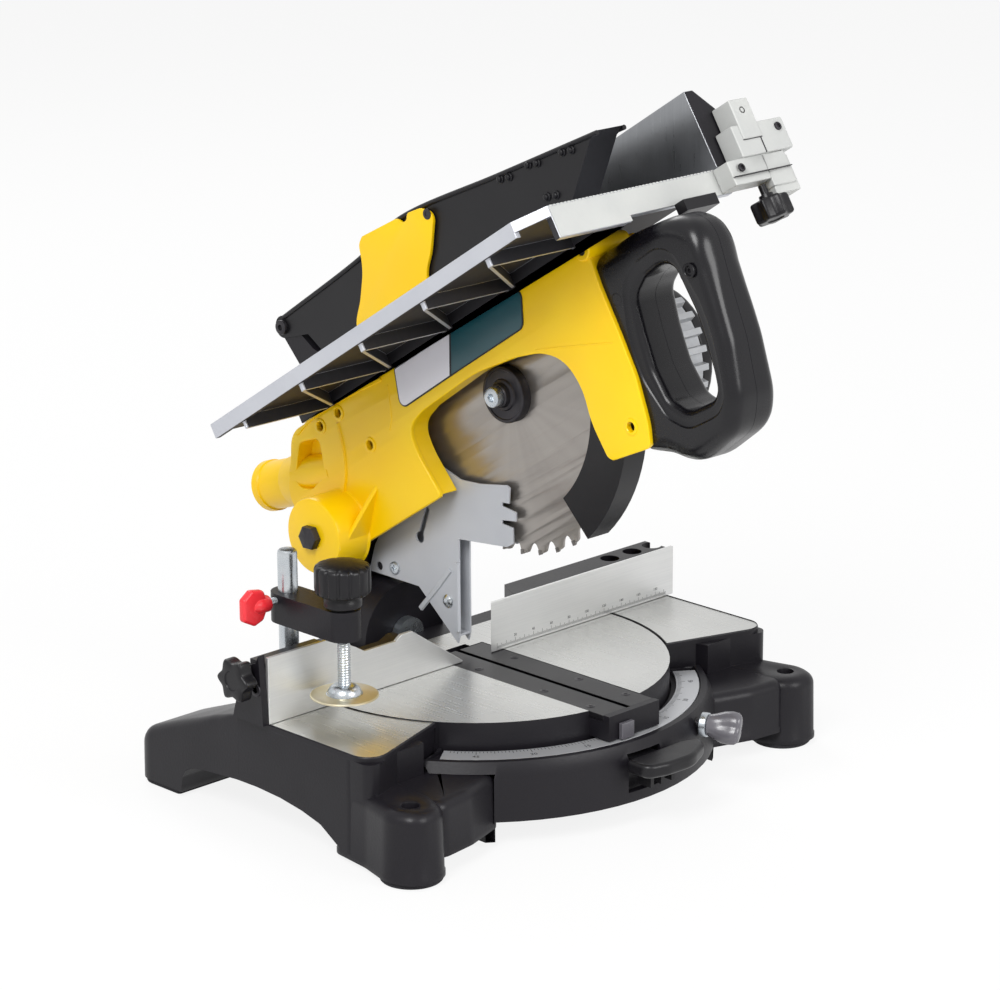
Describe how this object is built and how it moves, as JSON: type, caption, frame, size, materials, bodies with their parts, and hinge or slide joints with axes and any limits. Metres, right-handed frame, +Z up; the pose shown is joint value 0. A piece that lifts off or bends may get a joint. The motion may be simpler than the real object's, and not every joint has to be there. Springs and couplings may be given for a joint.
{
  "type": "mitre saw",
  "caption": "Bench mitre saw with tilting raised head, direct-drive finned motor and an upper table with rip fence and hood for ripping.",
  "frame": {"origin": "centre of the bounding box's underside, on the bench that the pads stand on", "axes": "+Z up, +Y from the handle towards the pivot at the back, +X to the operator's right"},
  "size_m": [0.472, 0.5306, 0.5374],
  "materials": {
    "black_casting": "satin black paint on a casting",
    "yellow_casting": "gloss yellow paint on a casting",
    "yellow_plate": "gloss yellow paint on sheet steel",
    "silver_casting": "silver-grey paint on a finned casting",
    "silver_plate": "silver paint on sheet steel",
    "machined_aluminium": "brushed",
    "extruded_aluminium": "anodised, satin",
    "white_casting": "satin white",
    "black_plastic": "fine grained",
    "handle_plastic": "satin",
    "smoky_plastic": "polished",
    "red_plastic": "polished",
    "steel": "ground",
    "dark_steel": "black oxide",
    "zinc": "bright zinc plating",
    "rubber": "matt",
    "label": "printed film, bare"
  },
  "bodies": {
    "base": {"base_casting": "black_casting", "foot_pad_front_left": "rubber", "foot_pad_front_right": "rubber", "foot_pad_rear_left": "rubber", "foot_pad_rear_right": "rubber", "turntable_bolt": "zinc", "mitre_scale": "machined_aluminium", "fence_right": "black_casting", "fence_right_face": "extruded_aluminium"},
    "fence_slide": {"fence_left": "black_casting", "fence_left_face": "extruded_aluminium", "clamp_column": "zinc"},
    "detent": {"detent_lever": "black_plastic"},
    "mitre_lock": {"mitre_lock_knob": "smoky_plastic"},
    "end_knob": {"fence_end_knob": "black_plastic"},
    "clamp_carrier": {"clamp_arm": "black_casting"},
    "clamp_wing": {"clamp_wing_screw": "red_plastic"},
    "clamp_spindle": {"clamp_screw": "zinc", "clamp_knob": "black_plastic", "clamp_foot": "zinc"},
    "turntable": {"turntable": "machined_aluminium", "kerf_insert_left": "black_plastic", "kerf_insert_right": "black_plastic", "mitre_pointer": "black_plastic"},
    "bevel": {"tilt_bracket": "black_casting", "bevel_pin": "zinc", "blade_plate_left": "silver_plate", "blade_plate_right": "silver_plate", "return_spring": "zinc"},
    "bevel_lever": {"bevel_lock_lever": "black_plastic"},
    "head": {"head_pivot_bolt": "dark_steel", "head_casting": "yellow_casting", "motor_housing": "silver_casting", "motor_end_cover": "black_plastic", "motor_stator": "steel", "arbor_bearing": "steel", "handle_left": "handle_plastic", "handle_right": "handle_plastic", "label_plate": "label", "trigger_pin": "steel", "switch_box": "black_plastic"},
    "blade": {"arbor_shaft": "steel", "motor_rotor": "steel", "inner_flange": "steel", "saw_blade": "steel", "outer_flange": "dark_steel", "arbor_bolt": "zinc"},
    "guard": {"lower_guard": "black_plastic"},
    "trigger": {"trigger": "handle_plastic"},
    "upper_table": {"upper_table": "machined_aluminium", "table_post_front": "zinc", "table_post_rear": "zinc", "guard_side_plate": "yellow_plate", "hood_bracket": "black_casting", "hood_bolt": "dark_steel"},
    "hood": {"hood": "black_plastic"},
    "latch": {"table_latch": "black_plastic"},
    "rip": {"rip_fence": "extruded_aluminium", "rip_carriage": "white_casting"},
    "rip_knob": {"rip_knob": "black_plastic"}
  },
  "joints": [
    {"name": "mitre", "type": "hinge", "parent": "base", "child": "turntable", "pos_m": [0.002, 0.01692, 0.058], "axis": [0, 0, 1], "range_deg": [-45, 45]},
    {"name": "bevel", "type": "hinge", "parent": "turntable", "child": "bevel", "pos_m": [0.002, 0.11692, 0.085], "axis": [0, 1, 0], "range_deg": [-45, 0]},
    {"name": "head", "type": "hinge", "parent": "bevel", "child": "head", "pos_m": [0.002, 0.14092, 0.1688], "axis": [1, 0, 0], "range_deg": [0, 32.4], "stiffness_Nm_per_rad": 20, "springref_deg": -83.08},
    {"name": "blade", "type": "hinge", "parent": "head", "child": "blade", "pos_m": [0.002, -0.02001, 0.30397], "axis": [1, 0, 0], "continuous": true},
    {"name": "guard", "type": "hinge", "parent": "head", "child": "guard", "pos_m": [0.002, -0.02001, 0.30397], "axis": [1, 0, 0], "range_deg": [-45.1, 0]},
    {"name": "trigger", "type": "hinge", "parent": "head", "child": "trigger", "pos_m": [0.002, -0.21684, 0.43193], "axis": [1, 0, 0], "range_deg": [-6, 0], "stiffness_Nm_per_rad": 0.3, "springref_deg": 11.46},
    {"name": "table_rise", "type": "slide", "parent": "head", "child": "upper_table", "axis": [0, 0.5358, 0.8443], "range_m": [0, 0.045]},
    {"name": "hood", "type": "hinge", "parent": "upper_table", "child": "hood", "pos_m": [0.002, 0.22274, 0.31506], "axis": [1, 0, 0], "range_deg": [-50, 0]},
    {"name": "latch", "type": "hinge", "parent": "upper_table", "child": "latch", "pos_m": [0.04, -0.1683, 0.45979], "axis": [0, 0.5358, 0.8443], "range_deg": [0, 60]},
    {"name": "rip", "type": "slide", "parent": "upper_table", "child": "rip", "axis": [1, 0, 0], "range_m": [-0.04, 0]},
    {"name": "rip_knob", "type": "hinge", "parent": "rip", "child": "rip_knob", "pos_m": [0.096, -0.19289, 0.45762], "axis": [0, 0.5358, 0.8443], "range_deg": [-90, 90]},
    {"name": "fence_slide", "type": "slide", "parent": "base", "child": "fence_slide", "axis": [1, 0, 0], "range_m": [-0.07, 0]},
    {"name": "clamp_height", "type": "slide", "parent": "fence_slide", "child": "clamp_carrier", "axis": [0, 0, 1], "range_m": [-0.007, 0.004]},
    {"name": "clamp_screw", "type": "slide", "parent": "clamp_carrier", "child": "clamp_spindle", "axis": [0, 0, 1], "range_m": [0, 0.028]},
    {"name": "clamp_wing", "type": "hinge", "parent": "clamp_carrier", "child": "clamp_wing", "pos_m": [-0.188, 0.05092, 0.165], "axis": [1, 0, 0], "range_deg": [-90, 90]},
    {"name": "detent", "type": "hinge", "parent": "base", "child": "detent", "pos_m": [-0.003, -0.15108, 0.05], "axis": [1, 0, 0], "range_deg": [0, 6], "stiffness_Nm_per_rad": 2, "springref_deg": -8.59},
    {"name": "mitre_lock", "type": "hinge", "parent": "base", "child": "mitre_lock", "pos_m": [0.07318, -0.15925, 0.056], "axis": [0.3746, -0.9272, 0], "range_deg": [-90, 90]},
    {"name": "end_knob", "type": "hinge", "parent": "fence_slide", "child": "end_knob", "pos_m": [-0.228, 0.03192, 0.1213], "axis": [1, 0, 0], "range_deg": [-90, 90]},
    {"name": "bevel_lever", "type": "hinge", "parent": "bevel", "child": "bevel_lever", "pos_m": [0.002, 0.16092, 0.085], "axis": [0, 1, 0], "range_deg": [0, 40]}
  ],
  "couplings": [
    {"joint": "guard", "follows": "head", "ratio": -1.3889}
  ]
}
